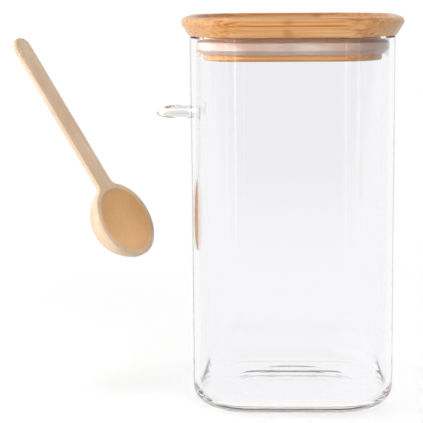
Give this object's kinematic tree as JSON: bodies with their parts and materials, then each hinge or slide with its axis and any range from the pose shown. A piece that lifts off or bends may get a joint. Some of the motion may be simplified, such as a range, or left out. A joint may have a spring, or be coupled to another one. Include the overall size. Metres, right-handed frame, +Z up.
{
  "type": "coffee canister",
  "caption": "Tall square glass coffee jar with rounded corners, a sealed bamboo lid, a glass loop on one side to hold a spoon, and a wooden spoon.",
  "frame": {"origin": "centre of the jar's foot, on the surface that the jar stands on", "axes": "+Z up along the jar's axis, -Y towards the front, -X towards the side with the spoon loop"},
  "size_m": [0.1888, 0.104, 0.1855],
  "materials": {
    "clear_glass": "clear polished borosilicate",
    "bamboo": "fine sanded, oiled",
    "silicone": "satin, slightly clear silicone",
    "beech": "fine sanded, dry"
  },
  "bodies": {
    "canister": {"glass_jar": "clear_glass", "spoon_loop": "clear_glass"},
    "lid": {"lid_board": "bamboo", "lid_plug": "bamboo", "seal_ring": "silicone"},
    "spoon": {"spoon": "beech"}
  },
  "joints": [
    {"name": "lid_lift", "type": "slide", "parent": "canister", "child": "lid", "axis": [0, 0, 1], "range_m": [0, 0.06]},
    {"name": "spoon_lift", "type": "slide", "parent": "canister", "child": "spoon", "axis": [0, 0, 1], "range_m": [0, 0.1]}
  ]
}
